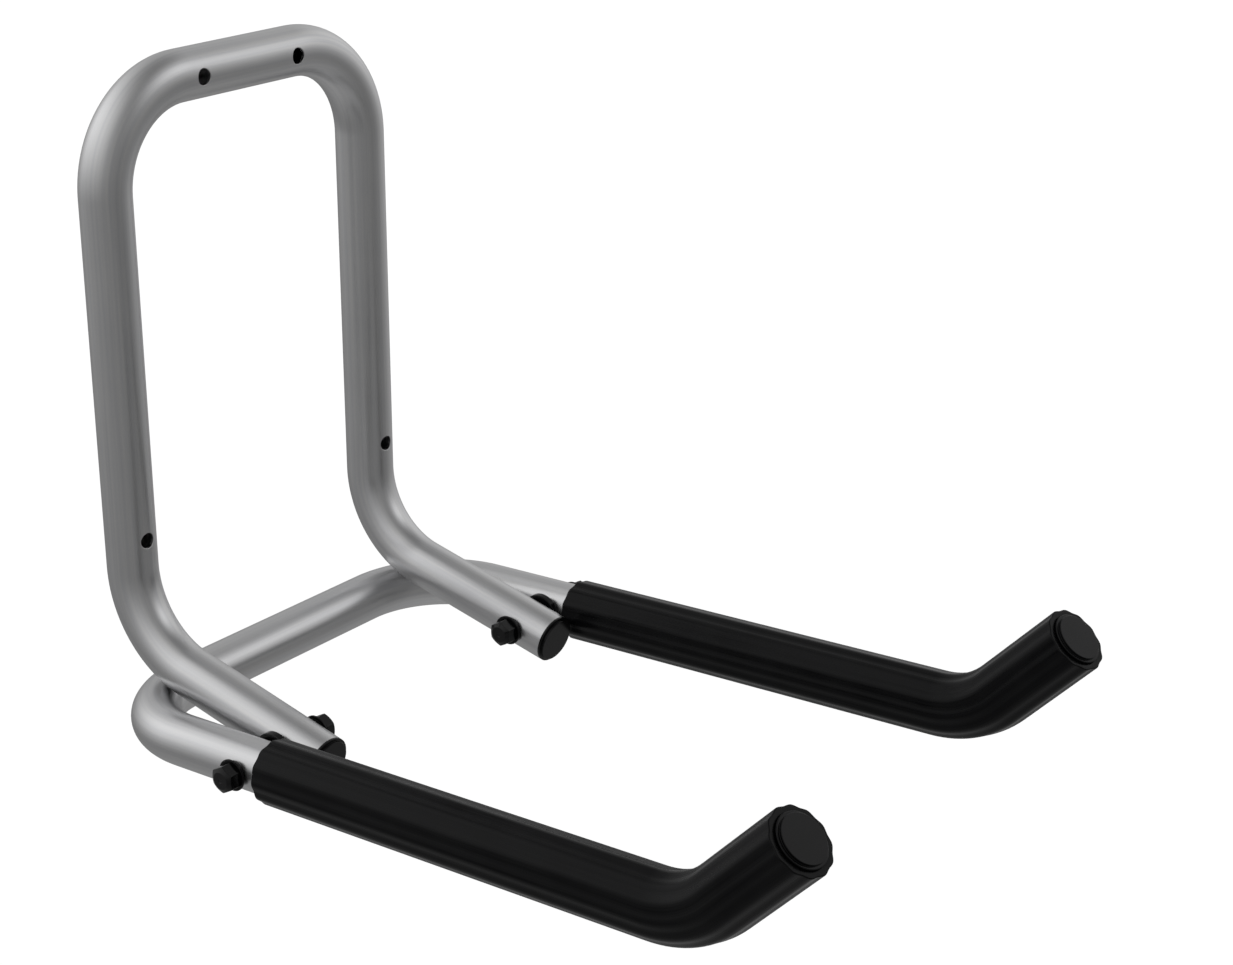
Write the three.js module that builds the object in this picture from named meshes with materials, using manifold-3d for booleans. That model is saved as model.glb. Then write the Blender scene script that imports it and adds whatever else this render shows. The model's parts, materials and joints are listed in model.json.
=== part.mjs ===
// Folding bicycle wall rack, in millimetres.
//
// A bent tube, the wall bracket, is screwed to a wall. A U-shaped carrier tube turns on two bolts at the ends
// of the bracket's forward legs, and its cross bar bears up against the underside of the legs' bends.
//
// Frame: the wall is the plane y = 0 and the rack stands out from it towards -Y. +Z is up, +X is along the
// wall. The origin is on the back of the top bar, midway between its two screw holes. The rack is symmetric
// about x = 0, so each paired piece is worked out on the +X side and mirrored for the other.

import * as THREE from "three";
import { mergeVertices } from "three/addons/utils/BufferGeometryUtils.js";
import Module from "manifold-3d";

// Tube
const TUBE_OD = 32;
const TUBE_WALL = 2;
const TUBE_SIDES = 20;
const BEND_STEP = 15; // degrees of bend per facet

// Wall bracket
const LEG_X = 109.7; // side leg centre from the middle
const TOP_BEND_R = 62;
const LEG_BEND_R = 62;
const LEG_BEND_Z = -296.5; // where the side legs start to bend forward
const LEG_FALL = 12.3; // degrees the forward legs run below level
const PIVOT_ALONG_LEG = 90; // from the end of the leg bend
const LEG_PAST_PIVOT = 25;
const SCREW_HOLE_D = 10;
const TOP_SCREW_TO_BEND = 7.7; // from a top hole to the start of the bend beside it
const LEG_SCREW_TO_BEND = 20.3; // from a leg hole down to the start of the leg bend

// Carrier
const CORNER_BEND_R = 62;
const TIP_BEND_R = 62;
const PIVOT_ALONG_ARM = 121.2; // from the cross bar's centreline
const ARM_PAST_PIVOT = 295.8; // to the start of the tip bend
const TIP_ANGLE = 44.5;
const TIP_LENGTH = 63.7;

// Arm sleeve
const SLEEVE_WALL = 4.2; // from the tube to the crests between the flutes
const SLEEVE_FLUTE_DEPTH = 0.76;
const SLEEVE_FLUTES = 12;
const SLEEVE_POINTS_PER_FLUTE = 4;
const SLEEVE_TO_SPACER = 4.9; // from the edge of the pivot spacer to the sleeve's start

// Tube end plug, heights measured from the tube's end
const PLUG_FLANGE_H = 1.6;
const PLUG_FACE_H = 3.2;
const PLUG_STEP_W = 1.7; // width of the flange left showing round the raised face
const PLUG_EDGE = 0.4;
const PLUG_SKIN = 2.4;
const PLUG_SPIGOT_L = 13;
const PLUG_SPIGOT_WALL = 2;

// Pivot hardware, M8
const BOLT_D = 8;
const HEX_AF = 13;
const BOLT_HEAD_H = 5.3;
const NUT_H = 6.5;
const HEX_END_INSET = 0.2; // from the flats to the round end face that the chamfer leaves
const HEX_CHAMFER_ANGLE = 30;
const SEAT_FLANGE_MARGIN = 1.2; // beyond the cap's corners
const SEAT_FLANGE_T = 1.4;
const SEAT_BOSS_STEP = 2; // from the flange's edge to the boss
const SEAT_THICKNESS = 2; // at the tube's crest
const SPACER_D = 26.4;
const SPACER_CHAMFER = 0.5;
const CAP_WALL = 0.8; // at the flats
const CAP_HEADROOM = 1; // above the nut
const CAP_TOP_T = 1.2;

const CLEARANCE = 0.3; // between faces that touch
const ROUND_SIDES = 20;
const OVERRUN = 1; // how far a cutter passes the face it cuts
const RISE_STEP = 0.0005; // degrees, how closely the arms' rise at rest is found

const R = TUBE_OD / 2;
const ARM_X = LEG_X + TUBE_OD + SLEEVE_WALL + CLEARANCE; // the sleeve's side just passes the leg
const BORE_R = BOLT_D / 2 + CLEARANCE;
const radians = THREE.MathUtils.degToRad;

const wasm = await Module();
wasm.setup();

// ---------------------------------------------------------------------------------------------- solids

// A closed geometry as a manifold solid, and back.
function toSolid(geometry) {
  const bare = geometry.clone();
  bare.deleteAttribute("normal");
  bare.deleteAttribute("uv");
  const merged = mergeVertices(bare, 1e-4);
  const vertProperties = merged.attributes.position.array;
  const triVerts = new Uint32Array(merged.index.array);
  return new wasm.Manifold(new wasm.Mesh({ numProp: 3, vertProperties, triVerts }));
}

function toGeometry(solid) {
  const mesh = solid.getMesh();
  const geometry = new THREE.BufferGeometry();
  geometry.setAttribute("position", new THREE.BufferAttribute(mesh.vertProperties, 3));
  geometry.setIndex(new THREE.BufferAttribute(mesh.triVerts, 1));
  geometry.computeVertexNormals();
  return geometry;
}

// A cylinder or cone along X between two stations, on the axis y, z.
function roundAlongX(x0, x1, radius0, radius1, y, z, sides = ROUND_SIDES) {
  const geometry = new THREE.CylinderGeometry(radius1, radius0, x1 - x0, sides);
  geometry.rotateZ(-Math.PI / 2);
  geometry.translate((x0 + x1) / 2, y, z);
  return toSolid(geometry);
}

function roundAlongY(y0, y1, radius, x, z) {
  const geometry = new THREE.CylinderGeometry(radius, radius, y1 - y0, ROUND_SIDES);
  geometry.translate(x, (y0 + y1) / 2, z);
  return toSolid(geometry);
}

// ---------------------------------------------------------------------------------------------- tubes

// A tube's centreline: straights and circular bends in turn, with a station only where a facet is needed.
class TubePath extends THREE.Curve {
  constructor(start, direction) {
    super();
    this.stations = [{ point: start.clone(), tangent: direction.clone() }];
  }

  get end() {
    return this.stations.at(-1);
  }

  straight(length) {
    const { point, tangent } = this.end;
    const next = point.clone().addScaledVector(tangent, length);
    this.stations.push({ point: next, tangent: tangent.clone() });
    return this;
  }

  // Turns by angle degrees about axis, a unit vector square to the tangent.
  bend(radius, axis, angle) {
    const { point, tangent } = this.end;
    const inward = axis.clone().cross(tangent);
    const centre = point.clone().addScaledVector(inward, radius);
    const arm = point.clone().sub(centre);
    const count = Math.ceil(angle / BEND_STEP);
    for (let i = 1; i <= count; i += 1) {
      const turn = radians((angle * i) / count);
      const next = centre.clone().add(arm.clone().applyAxisAngle(axis, turn));
      this.stations.push({ point: next, tangent: tangent.clone().applyAxisAngle(axis, turn) });
    }
    return this;
  }

  station(u) {
    return this.stations[Math.round(u * (this.stations.length - 1))];
  }

  getPointAt(u, target = new THREE.Vector3()) {
    return target.copy(this.station(u).point);
  }

  getTangentAt(u, target = new THREE.Vector3()) {
    return target.copy(this.station(u).tangent);
  }
}

// A regular polygon whose facets touch the circle of the given radius, one facet square to each axis.
function facetedCircle(radius) {
  const cornerR = radius / Math.cos(Math.PI / TUBE_SIDES);
  const corners = [];
  for (let i = 0; i < TUBE_SIDES; i += 1) {
    const angle = ((i + 0.5) * 2 * Math.PI) / TUBE_SIDES;
    corners.push(new THREE.Vector2(cornerR * Math.cos(angle), cornerR * Math.sin(angle)));
  }
  return corners;
}

function withHole(outline, hole) {
  const shape = new THREE.Shape(outline);
  if (hole) shape.holes.push(new THREE.Path(hole));
  return shape;
}

function sweep(path, outline, hole) {
  const steps = path.stations.length - 1;
  const geometry = new THREE.ExtrudeGeometry(withHole(outline, hole), { steps, extrudePath: path });
  return toSolid(geometry);
}

const tubeOutline = facetedCircle(R);
const tubeBore = facetedCircle(R - TUBE_WALL);

// ------------------------------------------------------------------------------------- where things are

const X = new THREE.Vector3(1, 0, 0);
const Y = new THREE.Vector3(0, 1, 0);

// Unit vectors in the plane x = 0: away from the wall, and tipped up by an angle in degrees.
function forwardAt(rise) {
  return new THREE.Vector3(0, -Math.cos(radians(rise)), Math.sin(radians(rise)));
}

// The right half of the bracket, from the middle of the top bar to a length along the forward leg.
function bracketHalf(legLength) {
  return new TubePath(new THREE.Vector3(0, -R, 0), X)
    .straight(LEG_X - TOP_BEND_R)
    .bend(TOP_BEND_R, Y, 90)
    .straight(-LEG_BEND_Z - TOP_BEND_R)
    .bend(LEG_BEND_R, X.clone().negate(), 90 - LEG_FALL)
    .straight(legLength);
}

const legDirection = forwardAt(-LEG_FALL);
const pivot = bracketHalf(PIVOT_ALONG_LEG).end.point.setX(0);
const legEnd = bracketHalf(PIVOT_ALONG_LEG + LEG_PAST_PIVOT).end.point;

// The right half of the carrier with its arms raised by an angle, from the middle of the cross bar.
function carrierHalf(rise) {
  const start = pivot.clone().addScaledVector(forwardAt(rise), -PIVOT_ALONG_ARM);
  const up = forwardAt(rise + 90);
  return new TubePath(start, X)
    .straight(ARM_X - CORNER_BEND_R)
    .bend(CORNER_BEND_R, up.clone().negate(), 90)
    .straight(PIVOT_ALONG_ARM - CORNER_BEND_R + ARM_PAST_PIVOT)
    .bend(TIP_BEND_R, X.clone().negate(), TIP_ANGLE)
    .straight(TIP_LENGTH);
}

// The arms' rise at rest, where the carrier's corners bear on the leg bends. A higher rise lowers the cross bar,
// so the range is halved until it closes on the lowest rise that leaves the clearance.
function restRise() {
  const bracket = sweep(bracketHalf(PIVOT_ALONG_LEG + LEG_PAST_PIVOT), tubeOutline);
  const carrierOutline = facetedCircle(R + CLEARANCE);
  let low = -LEG_FALL;
  let high = 45;
  while (high - low > RISE_STEP) {
    const middle = (low + high) / 2;
    const isClear = sweep(carrierHalf(middle), carrierOutline).intersect(bracket).isEmpty();
    if (isClear) high = middle;
    else low = middle;
  }
  return high;
}

const ARM_RISE = restRise();
const armDirection = forwardAt(ARM_RISE);
const tipDirection = forwardAt(ARM_RISE + TIP_ANGLE);
const armEnd = carrierHalf(ARM_RISE).end.point;

// A half path and its mirror image, joined into one path from the left end to the right end.
function mirrored(half) {
  const whole = new TubePath(half.stations[0].point, X);
  const left = half.stations.slice(1).reverse().map(({ point, tangent }) => ({
    point: new THREE.Vector3(-point.x, point.y, point.z),
    tangent: new THREE.Vector3(tangent.x, -tangent.y, -tangent.z),
  }));
  whole.stations = [...left, ...half.stations.slice(1)];
  return whole;
}

// ------------------------------------------------------------------------------------------ the two tubes

function pivotHole(centreX) {
  const reach = R + OVERRUN;
  return roundAlongX(centreX - reach, centreX + reach, BORE_R, BORE_R, pivot.y, pivot.z);
}

// A screw hole right through the tube, square to the wall.
function screwHole(x, z) {
  return roundAlongY(-TUBE_OD - OVERRUN, OVERRUN, SCREW_HOLE_D / 2, x, z);
}

function wallBracket() {
  let solid = sweep(mirrored(bracketHalf(PIVOT_ALONG_LEG + LEG_PAST_PIVOT)), tubeOutline, tubeBore);
  const topScrewX = LEG_X - TOP_BEND_R - TOP_SCREW_TO_BEND;
  for (const side of [-1, 1]) {
    solid = solid
      .subtract(screwHole(side * topScrewX, 0))
      .subtract(screwHole(side * LEG_X, LEG_BEND_Z + LEG_SCREW_TO_BEND))
      .subtract(pivotHole(side * LEG_X));
  }
  return solid;
}

function carrierTube() {
  let solid = sweep(mirrored(carrierHalf(ARM_RISE)), tubeOutline, tubeBore);
  for (const side of [-1, 1]) solid = solid.subtract(pivotHole(side * ARM_X));
  return solid;
}

// ---------------------------------------------------------------------------------------------- sleeve

function flutedOutline() {
  const count = SLEEVE_FLUTES * SLEEVE_POINTS_PER_FLUTE;
  const corners = [];
  for (let i = 0; i < count; i += 1) {
    const angle = (i * 2 * Math.PI) / count;
    const dip = (SLEEVE_FLUTE_DEPTH / 2) * (1 - Math.cos(SLEEVE_FLUTES * angle));
    const radius = R + SLEEVE_WALL - dip;
    corners.push(new THREE.Vector2(radius * Math.cos(angle), radius * Math.sin(angle)));
  }
  return corners;
}

function armSleeve() {
  const startPastPivot = SPACER_D / 2 + SLEEVE_TO_SPACER;
  const start = pivot.clone().addScaledVector(armDirection, startPastPivot).setX(ARM_X);
  const path = new TubePath(start, armDirection)
    .straight(ARM_PAST_PIVOT - startPastPivot)
    .bend(TIP_BEND_R, X.clone().negate(), TIP_ANGLE)
    .straight(TIP_LENGTH);
  return sweep(path, flutedOutline(), facetedCircle(R + CLEARANCE));
}

// ------------------------------------------------------------------------------------------------ plugs

// A plug whose axis is +Y, with the tube's end at y = 0: flange, raised face and hollow spigot.
function endPlug() {
  const spigotR = R - TUBE_WALL - 2 * CLEARANCE;
  const hollowR = spigotR - PLUG_SPIGOT_WALL;
  const faceR = R - PLUG_STEP_W;
  const underside = CLEARANCE;
  const ceiling = PLUG_FACE_H - PLUG_SKIN;
  const profile = [
    [0, ceiling],
    [hollowR, ceiling],
    [hollowR, -PLUG_SPIGOT_L],
    [spigotR - PLUG_EDGE, -PLUG_SPIGOT_L],
    [spigotR, -PLUG_SPIGOT_L + PLUG_EDGE],
    [spigotR, underside],
    [R, underside],
    [R, PLUG_FLANGE_H - PLUG_EDGE],
    [R - PLUG_EDGE, PLUG_FLANGE_H],
    [faceR, PLUG_FLANGE_H],
    [faceR, PLUG_FACE_H - PLUG_EDGE],
    [faceR - PLUG_EDGE, PLUG_FACE_H],
    [0, PLUG_FACE_H],
  ];
  const points = profile.map(([radius, height]) => new THREE.Vector2(radius, height));
  return toSolid(new THREE.LatheGeometry(points, TUBE_SIDES));
}

// ---------------------------------------------------------------------------------------- pivot hardware

// A station on the bolt axis, a distance away from a tube's crest on the outer (+1) or inner (-1) side.
const outerStation = (distance) => ARM_X + R + distance;
const innerStation = (distance) => LEG_X - R - distance;

// A disc, cone or hexagonal prism between two stations that may be given in either order.
function disc(from, to, radius, endRadius = radius) {
  if (from < to) return roundAlongX(from, to, radius, endRadius, pivot.y, pivot.z);
  return roundAlongX(to, from, endRadius, radius, pivot.y, pivot.z);
}

const hexCornerR = (acrossFlats) => acrossFlats / 2 / Math.cos(Math.PI / 6);

// A hexagonal prism with a corner at the top.
function hexagon(from, to, acrossFlats) {
  const cornerR = hexCornerR(acrossFlats);
  return roundAlongX(Math.min(from, to), Math.max(from, to), cornerR, cornerR, pivot.y, pivot.z, 6);
}

// A hexagon with its corners turned off at the "to" end.
function chamferedHexagon(from, to, acrossFlats) {
  const endRadius = acrossFlats / 2 - HEX_END_INSET;
  const spread = Math.abs(to - from) / Math.tan(radians(HEX_CHAMFER_ANGLE));
  return hexagon(from, to, acrossFlats).intersect(disc(from, to, endRadius + spread, endRadius));
}

const seatTop = SEAT_THICKNESS + CLEARANCE;
const headSeat = seatTop + CLEARANCE;
const cavityAf = HEX_AF + 2 * CLEARANCE;
const cavityDepth = Math.max(NUT_H, BOLT_HEAD_H) + CAP_HEADROOM;
const capAf = cavityAf + 2 * CAP_WALL;

// The washer under a cap: a flange, and a smaller boss whose underside fits round the tube.
function seat(station, tubeX, direction) {
  const flangeR = hexCornerR(capAf) + SEAT_FLANGE_MARGIN;
  const flange = disc(station(seatTop - SEAT_FLANGE_T), station(seatTop), flangeR);
  const boss = disc(station(-R / 2), station(seatTop - SEAT_FLANGE_T / 2), flangeR - SEAT_BOSS_STEP);
  const along = pivot.clone().addScaledVector(direction, -TUBE_OD).setX(tubeX);
  const tube = sweep(new TubePath(along, direction).straight(2 * TUBE_OD), facetedCircle(R + CLEARANCE));
  const bore = disc(station(-R), station(seatTop + OVERRUN), BORE_R);
  return flange.add(boss).subtract(tube).subtract(bore);
}

function cap(station) {
  const ceiling = headSeat + cavityDepth;
  const outside = chamferedHexagon(station(headSeat), station(ceiling + CAP_TOP_T), capAf);
  return outside.subtract(hexagon(station(headSeat - OVERRUN), station(ceiling), cavityAf));
}

function pivotBolt() {
  const head = chamferedHexagon(outerStation(headSeat), outerStation(headSeat + BOLT_HEAD_H), HEX_AF);
  const shankEnd = innerStation(headSeat + NUT_H);
  const shank = disc(outerStation(headSeat + BOLT_HEAD_H / 2), shankEnd, BOLT_D / 2);
  return head.add(shank);
}

function lockNut() {
  const body = chamferedHexagon(innerStation(headSeat), innerStation(headSeat + NUT_H), HEX_AF);
  const bore = disc(innerStation(headSeat - OVERRUN), innerStation(headSeat + NUT_H + OVERRUN), BORE_R);
  return body.subtract(bore);
}

// The disc that fills the gap between the crests of leg and arm.
function pivotSpacer() {
  const from = LEG_X + R + CLEARANCE;
  const to = ARM_X - R - CLEARANCE;
  const radius = SPACER_D / 2;
  const edgeR = radius - SPACER_CHAMFER;
  const body = disc(from + SPACER_CHAMFER, to - SPACER_CHAMFER, radius)
    .add(disc(from, from + SPACER_CHAMFER, edgeR, radius))
    .add(disc(to - SPACER_CHAMFER, to, radius, edgeR));
  return body.subtract(disc(from - OVERRUN, to + OVERRUN, BORE_R));
}

// ------------------------------------------------------------------------------------------ the assembly

const silverPaint = { color: 0x9a9b9d, roughness: 0.38, metalness: 0.75 };
const blackRubber = { color: 0x17171a, roughness: 0.42, metalness: 0 };
const blackPlastic = { color: 0x141416, roughness: 0.5, metalness: 0 };
const zincSteel = { color: 0xb4b6b8, roughness: 0.35, metalness: 0.9 };

const rack = new THREE.Group();

function addMesh(name, geometry, finish) {
  const mesh = new THREE.Mesh(geometry, new THREE.MeshStandardMaterial(finish));
  mesh.name = name;
  rack.add(mesh);
  return mesh;
}

// A piece made for the +X side, and its mirror image for the -X side.
function addPair(name, solid, finish) {
  const geometry = toGeometry(solid);
  addMesh(`right_${name}`, geometry, finish);
  addMesh(`left_${name}`, geometry, finish).scale.x = -1;
}

function addPlugs(name, tubeEnd, direction) {
  const geometry = toGeometry(endPlug());
  for (const [side, sign] of [["right", 1], ["left", -1]]) {
    const mesh = addMesh(`${side}_${name}`, geometry, blackPlastic);
    mesh.position.set(sign * tubeEnd.x, tubeEnd.y, tubeEnd.z);
    mesh.quaternion.setFromUnitVectors(Y, direction);
  }
}

addMesh("wall_bracket", toGeometry(wallBracket()), silverPaint);
addPlugs("leg_end_plug", legEnd, legDirection);
addMesh("carrier_tube", toGeometry(carrierTube()), silverPaint);
addPair("arm_sleeve", armSleeve(), blackRubber);
addPlugs("arm_end_plug", armEnd, tipDirection);
addPair("outer_seat", seat(outerStation, ARM_X, armDirection), blackPlastic);
addPair("inner_seat", seat(innerStation, LEG_X, legDirection), blackPlastic);
addPair("pivot_spacer", pivotSpacer(), blackPlastic);
addPair("pivot_bolt", pivotBolt(), zincSteel);
addPair("lock_nut", lockNut(), zincSteel);
addPair("outer_bolt_cap", cap(outerStation), blackPlastic);
addPair("inner_nut_cap", cap(innerStation), blackPlastic);

export default rack;
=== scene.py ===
"""The folding bicycle wall rack as it looks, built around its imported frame. Lengths are in metres.

Every CAD node is replaced by a finer piece in the same place. Tubes and sleeves are swept along the same
straights and bends as the CAD parts, and the small parts are turned from rounded profiles.
"""

import json
import math

import bpy
from mathutils import Matrix, Vector


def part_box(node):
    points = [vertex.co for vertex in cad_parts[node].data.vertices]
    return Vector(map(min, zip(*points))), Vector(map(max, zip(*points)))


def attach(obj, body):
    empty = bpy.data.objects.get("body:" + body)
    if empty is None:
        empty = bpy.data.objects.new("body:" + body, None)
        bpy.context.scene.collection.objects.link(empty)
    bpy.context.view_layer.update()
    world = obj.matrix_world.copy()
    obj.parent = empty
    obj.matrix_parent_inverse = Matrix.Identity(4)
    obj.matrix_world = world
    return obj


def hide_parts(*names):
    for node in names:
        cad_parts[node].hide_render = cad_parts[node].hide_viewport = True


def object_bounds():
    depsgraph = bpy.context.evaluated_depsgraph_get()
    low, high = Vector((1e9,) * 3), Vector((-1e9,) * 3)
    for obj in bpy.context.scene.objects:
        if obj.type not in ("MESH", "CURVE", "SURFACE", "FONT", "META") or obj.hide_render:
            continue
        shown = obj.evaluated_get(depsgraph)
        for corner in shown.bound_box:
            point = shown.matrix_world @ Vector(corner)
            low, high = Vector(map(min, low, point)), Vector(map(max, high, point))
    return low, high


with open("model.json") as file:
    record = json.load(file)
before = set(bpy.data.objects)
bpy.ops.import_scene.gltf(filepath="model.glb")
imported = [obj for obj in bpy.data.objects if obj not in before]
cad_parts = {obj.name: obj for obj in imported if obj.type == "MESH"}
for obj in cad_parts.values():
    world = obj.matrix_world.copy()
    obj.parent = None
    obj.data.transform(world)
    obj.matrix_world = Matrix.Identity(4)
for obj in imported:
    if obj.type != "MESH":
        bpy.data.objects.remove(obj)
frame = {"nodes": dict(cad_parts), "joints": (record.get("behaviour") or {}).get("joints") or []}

cad_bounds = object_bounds()

MM = 0.001
X = Vector((1, 0, 0))
Y = Vector((0, 1, 0))
Z = Vector((0, 0, 1))

# --------------------------------------------------------------------------------------------- driving sizes

TUBE_WALL = 2 * MM
TOP_BEND_R = 62 * MM
LEG_BEND_R = 62 * MM
LEG_BEND_Z = -296.5 * MM
LEG_FALL = 12.3  # degrees
LEG_PAST_PIVOT = 25 * MM
TOP_SCREW_TO_BEND = 7.7 * MM
LEG_SCREW_TO_BEND = 20.3 * MM
SCREW_HOLE_R = 5 * MM
CORNER_BEND_R = 62 * MM
TIP_BEND_R = 62 * MM
TIP_ANGLE = 44.5  # degrees
TIP_LENGTH = 63.7 * MM
ARM_PAST_PIVOT = 295.8 * MM

SLEEVE_START = 18.1 * MM  # past the pivot
SLEEVE_FLUTES = 12
SLEEVE_FLUTE_DEPTH = 0.76 * MM
SLEEVE_EDGE_R = 0.7 * MM
SLEEVE_LIP = 0.2 * MM  # how far it covers the end plug's flange

PLUG_FLANGE_H = 1.6 * MM
PLUG_FACE_H = 3.2 * MM
PLUG_STEP_W = 1.7 * MM
PLUG_SKIN = 2.4 * MM
PLUG_SPIGOT_L = 13 * MM
PLUG_SPIGOT_WALL = 2 * MM
PLUG_PLAY = 0.3 * MM  # between spigot and bore

BOLT_R = 4 * MM
BOLT_HEAD_H = 5.3 * MM
NUT_H = 6.5 * MM
THREAD_PITCH = 1.25 * MM
THREAD_LENGTH = 22 * MM
PIVOT_HOLE_R = 4.3 * MM
CAP_WALL = 0.8 * MM
CAP_END_T = 2 * MM
CAP_FACE_R = 5.4 * MM  # the round face on the cap's end
CAP_MARK_R = 1.5 * MM  # the moulding mark in the face's middle
CAP_MARK_DEPTH = 0.3 * MM
SEAT_FLANGE_T = 1.4 * MM
SEAT_BOSS_STEP = 2 * MM
HEX_END_INSET = 0.2 * MM
HEX_CHAMFER = 30  # degrees
SNUG = 0.02 * MM  # what keeps touching surfaces from sharing one plane


# ----------------------------------------------------------------------------------------- read off the frame

def box_size(node):
    low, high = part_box(node)
    return high - low


def box_centre(node):
    low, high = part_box(node)
    return (low + high) / 2


def ring_centre(node, x):
    """The centre, at that x, of a CAD tube that runs along X there."""
    close = 0.1 * MM
    ring = [v.co for v in frame["nodes"][node].data.vertices if abs(v.co.x - x) < close]
    ys = [p.y for p in ring]
    zs = [p.z for p in ring]
    return Vector((0, (min(ys) + max(ys)) / 2, (min(zs) + max(zs)) / 2))


TUBE_R = box_size("right_leg_end_plug").x / 2
LEG_X = box_centre("right_leg_end_plug").x
ARM_X = box_centre("right_arm_end_plug").x
PIVOT = Vector(frame["joints"][0]["pos_m"])
CROSS_BAR = ring_centre("carrier_tube", ARM_X - CORNER_BEND_R)
ARM = PIVOT - CROSS_BAR
SLEEVE_CREST_R = box_size("right_arm_sleeve").x / 2
SPACER_R = box_size("right_pivot_spacer").y / 2
SEAT_R = box_size("right_outer_seat").y / 2
SEAT_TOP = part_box("right_outer_seat")[1].x - ARM_X - TUBE_R  # above the tube's crest
CAP_AF = box_size("right_outer_bolt_cap").y
CAP_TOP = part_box("right_outer_bolt_cap")[1].x - ARM_X - TUBE_R
HEX_AF = box_size("right_lock_nut").y


# ----------------------------------------------------------------------------------------------- centrelines

class HalfPath:
    """The right half of a bent tube's centreline, from the middle at length 0. Lengths below 0 go left.

    frame(s) is a matrix whose X and Y columns span the tube's section, whose Z column runs along it.
    """

    def __init__(self, start, tangent, side):
        up = tangent.cross(side)
        self.head = Matrix((side, up, tangent)).transposed().to_4x4()
        self.head.translation = start
        self.length = 0.0
        self.legs = []  # start length, end length, bend radius or None, function from length to matrix

    def _add(self, length, radius, move):
        head = self.head.copy()
        self.legs.append((self.length, self.length + length, radius, lambda d: move(d) @ head))
        self.head = move(length) @ head
        self.length += length

    def straight(self, length):
        tangent = self.head.col[2].to_3d()
        self._add(length, None, lambda d: Matrix.Translation(tangent * d))
        return self

    def bend(self, radius, axis, degrees):
        centre = self.head.translation + axis.cross(self.head.col[2].to_3d()) * radius
        there = Matrix.Translation(centre)
        back = Matrix.Translation(-centre)
        self._add(
            radius * math.radians(degrees),
            radius,
            lambda d: there @ Matrix.Rotation(d / radius, 4, axis) @ back,
        )
        return self

    def frame(self, s):
        for start, end, _, at in self.legs:
            if abs(s) <= end:
                break
        matrix = at(abs(s) - start)
        if s < 0:
            mirror = Matrix.Diagonal((-1, 1, 1, 1))
            turn_back = Matrix.Diagonal((1, 1, -1, 1))
            matrix = mirror @ matrix @ turn_back
        return matrix

    def stops(self, low, high, extra=()):
        """The lengths from low to high where a section is needed, plus the extra ones."""
        bend_step = math.radians(3)
        straight_step = 12 * MM
        found = {low, high, *extra}
        for start, end, radius, _ in self.legs:
            step = straight_step if radius is None else radius * bend_step
            count = max(1, math.ceil((end - start) / step))
            for i in range(count + 1):
                s = start + (end - start) * i / count
                found.update((s, -s))
        inside = sorted(s for s in found if low <= s <= high)
        return without_close(inside, extra)


def without_close(lengths, keep):
    """Drops lengths that crowd another one, but never one of those to keep or the two ends."""
    least = 0.4 * MM
    fixed = sorted({*keep, lengths[0], lengths[-1]})
    out = list(fixed)
    for s in lengths:
        if all(abs(s - other) > least for other in out):
            out.append(s)
    return sorted(out)


def bracket_path():
    return (
        HalfPath(Vector((0, -TUBE_R, 0)), X, Y)
        .straight(LEG_X - TOP_BEND_R)
        .bend(TOP_BEND_R, Y, 90)
        .straight(-LEG_BEND_Z - TOP_BEND_R)
        .bend(LEG_BEND_R, -X, 90 - LEG_FALL)
    )


def carrier_path():
    arm = ARM.normalized()
    down = X.cross(arm)
    return (
        HalfPath(CROSS_BAR, X, arm)
        .straight(ARM_X - CORNER_BEND_R)
        .bend(CORNER_BEND_R, -down if down.z > 0 else down, 90)
        .straight(ARM.length - CORNER_BEND_R + ARM_PAST_PIVOT)
        .bend(TIP_BEND_R, -X, TIP_ANGLE)
        .straight(TIP_LENGTH)
    )


bracket = bracket_path()
lower_bend_start = bracket.legs[-1][0]
leg_bend_end = bracket.head.translation.copy()
pivot_along_leg = (PIVOT - Vector((0, leg_bend_end.y, leg_bend_end.z))).length
bracket_pivot = bracket.length + pivot_along_leg
bracket.straight(pivot_along_leg + LEG_PAST_PIVOT)

carrier = carrier_path()
arm_start = carrier.legs[2][0]  # legs 0 and 1 are the cross bar and the corner
carrier_pivot = arm_start + ARM.length - CORNER_BEND_R
sleeve_start = carrier_pivot + SLEEVE_START


# --------------------------------------------------------------------------------------------- mesh building

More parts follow.
